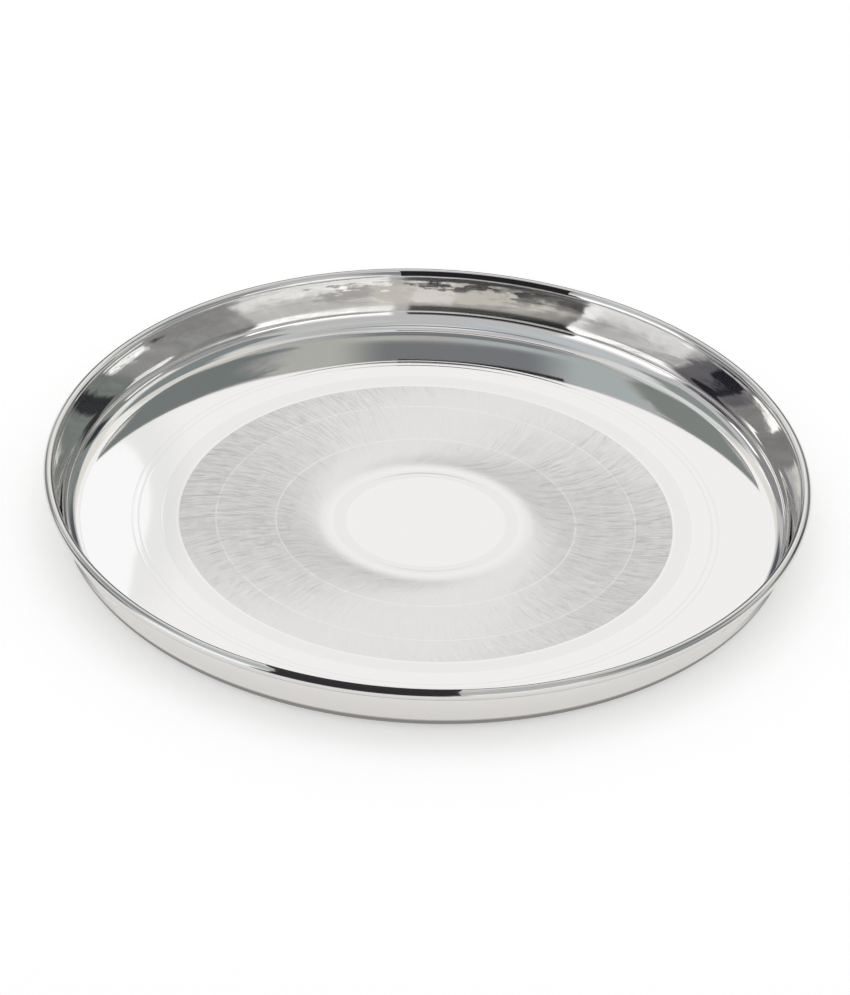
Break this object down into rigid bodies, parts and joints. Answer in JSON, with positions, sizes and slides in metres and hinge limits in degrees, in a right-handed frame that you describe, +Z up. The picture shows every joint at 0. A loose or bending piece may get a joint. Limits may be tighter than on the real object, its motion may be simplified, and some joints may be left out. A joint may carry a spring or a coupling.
{
  "type": "thali plate",
  "caption": "Round stainless steel thali plate with a flat floor, a low leaning wall and a wired rolled rim.",
  "frame": {"origin": "middle of the flat underside, on the plane that the plate stands on", "axes": "+Z up through the middle of the plate, square to the floor; the plate is round, so X and Y are free, and +X is to the right in the picture's view"},
  "size_m": [0.3, 0.3, 0.023],
  "materials": {
    "polished_steel": "mirror polished stainless steel, with a swirl-brushed band on the floor inside",
    "wire_steel": "plain drawn steel wire"
  },
  "bodies": {
    "root": {"plate_body": "polished_steel", "rim_wire": "wire_steel"}
  },
  "joints": []
}
